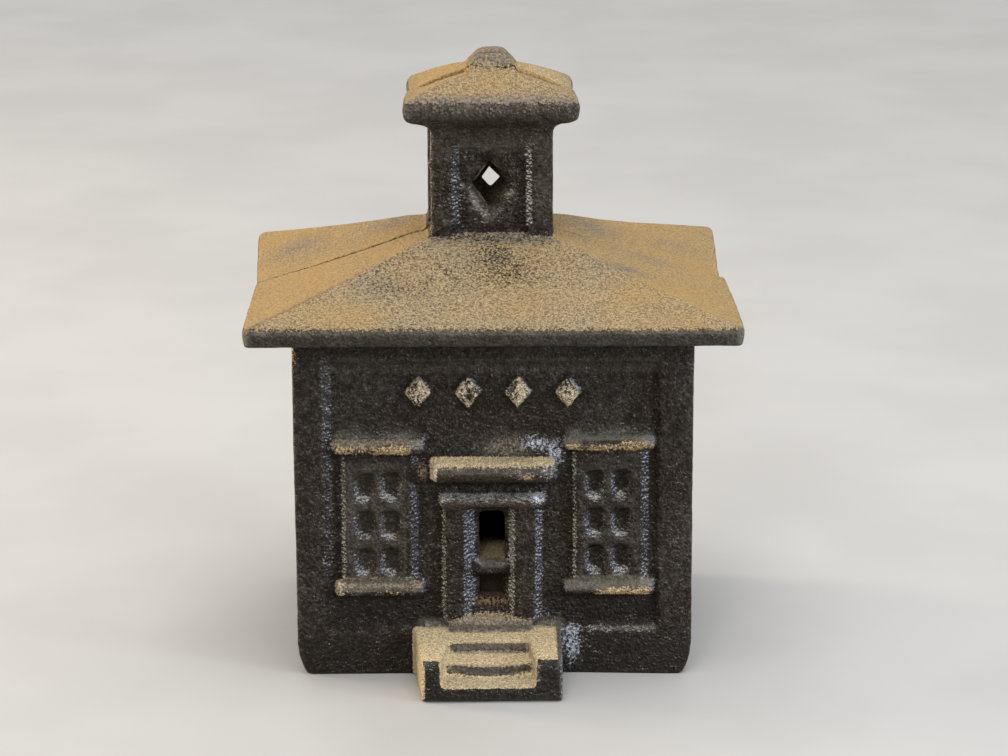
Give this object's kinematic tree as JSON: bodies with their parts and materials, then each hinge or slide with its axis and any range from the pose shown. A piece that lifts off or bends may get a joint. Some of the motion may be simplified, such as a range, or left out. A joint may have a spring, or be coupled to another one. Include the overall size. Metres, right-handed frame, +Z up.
{
  "type": "coin bank",
  "caption": "Hollow cast iron coin bank shaped like a small bank building with a hipped roof, cupola, door steps and a coin slot in the rear wall.",
  "frame": {"origin": "on the floor the bank stands on, in the middle of its width and midway between its front and rear walls; the two castings meet 1.8 mm in front of it", "axes": "+Z up, -Y out of the front with the door and the steps, +X to the viewer's right when facing the front"},
  "size_m": [0.081, 0.0694, 0.1014],
  "materials": {
    "cast_front": "old near-black paint over pebbled sand-cast iron, with a worn tan-gold overspray on the faces that look up",
    "cast_rear": "old near-black paint over pebbled sand-cast iron, with a worn tan-gold overspray on the faces that look up",
    "screw_steel": "dull darkened steel, rubbed bright at the edges of the slot",
    "nut_steel": "dull darkened steel with a little rust",
    "washer_steel": "dull darkened steel"
  },
  "bodies": {
    "front": {"front_casting": "cast_front", "square_nut": "nut_steel"},
    "rear": {"rear_casting": "cast_rear"},
    "washer": {"washer": "washer_steel"},
    "screw": {"tie_screw": "screw_steel"}
  },
  "joints": [
    {"name": "rear_slide", "type": "slide", "parent": "front", "child": "rear", "axis": [0, 1, 0], "range_m": [0, 0.07]},
    {"name": "washer_slide", "type": "slide", "parent": "rear", "child": "washer", "axis": [0, 1, 0], "range_m": [0, 0.0056]},
    {"name": "screw_turn", "type": "hinge", "parent": "washer", "child": "screw", "pos_m": [0, 0.0246, 0.0148], "axis": [0, 1, 0], "range_deg": [0, 2520]}
  ],
  "couplings": [
    {"joint": "screw_turn", "follows": "washer_slide", "rad_per_m": 7853.9}
  ]
}
